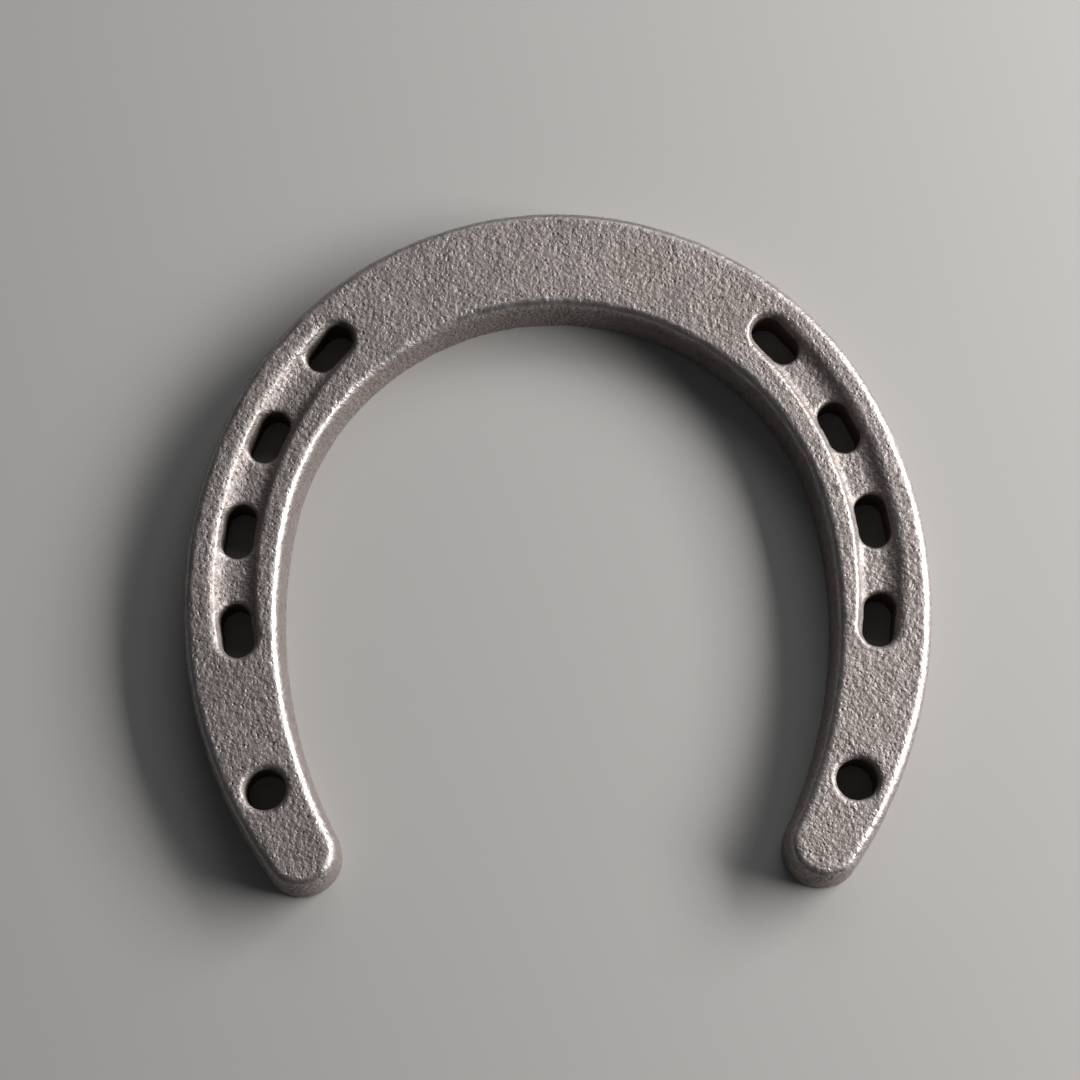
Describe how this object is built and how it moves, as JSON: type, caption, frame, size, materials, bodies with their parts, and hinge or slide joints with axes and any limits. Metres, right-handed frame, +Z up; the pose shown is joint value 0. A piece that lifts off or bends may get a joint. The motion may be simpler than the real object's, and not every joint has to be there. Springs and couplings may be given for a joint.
{
  "type": "horseshoe",
  "caption": "U-shaped cast iron horseshoe with rounded edges, a shallow crease with nail slots along each branch and a round hole near each heel.",
  "frame": {"origin": "on the flat back, midway between the two sides and midway between the toe and the heels", "axes": "+X across the shoe, +Y towards the toe, +Z up out of the creased ground face"},
  "size_m": [0.1458, 0.1358, 0.01],
  "materials": {
    "cast_iron": "as cast and shot-blasted, bright on the rounded edges"
  },
  "bodies": {
    "root": {"shoe": "cast_iron"}
  },
  "joints": []
}
